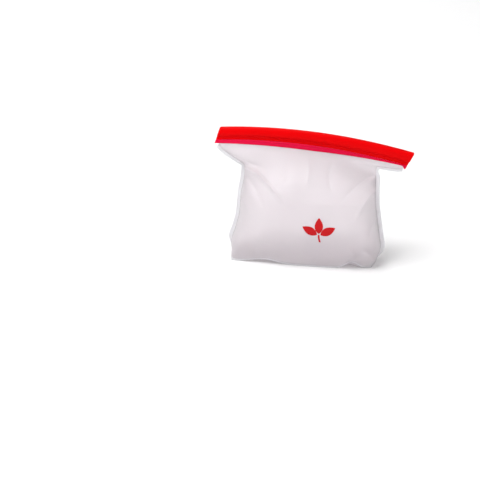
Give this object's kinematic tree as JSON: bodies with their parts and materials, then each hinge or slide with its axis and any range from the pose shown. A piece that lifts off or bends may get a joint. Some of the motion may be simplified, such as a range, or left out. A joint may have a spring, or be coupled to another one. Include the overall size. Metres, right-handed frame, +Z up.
{
  "type": "reusable silicone zip bag",
  "caption": "Stand-up reusable silicone food bag with a press-to-close zip, film walls, a flat base and a coloured grip band.",
  "frame": {"origin": "on the floor under the middle of the base", "axes": "+Z up, +X along the zip towards the bag's right end, -Y towards the printed front"},
  "size_m": [0.2208, 0.0802, 0.1465],
  "materials": {
    "film": "satin",
    "weld": "satin",
    "band": "satin",
    "ink": "matte"
  },
  "bodies": {
    "base": {"base_gusset": "film", "front_base_weld": "weld", "back_base_weld": "weld", "left_side_weld": "weld", "right_side_weld": "weld", "left_zip_end": "band", "right_zip_end": "band"},
    "front_wall": {"front_panel": "film", "front_zip_band": "band", "zip_rib": "band", "printed_mark": "ink"},
    "back_wall": {"back_panel": "film", "back_zip_band": "band", "zip_channel": "band"}
  },
  "joints": [
    {"name": "front_wall_swing", "type": "hinge", "parent": "base", "child": "front_wall", "pos_m": [0, -0.031, 0.0043], "axis": [1, 0, 0], "range_deg": [0, 15]},
    {"name": "back_wall_swing", "type": "hinge", "parent": "base", "child": "back_wall", "pos_m": [0, 0.031, 0.0043], "axis": [-1, 0, 0], "range_deg": [0, 15]}
  ]
}
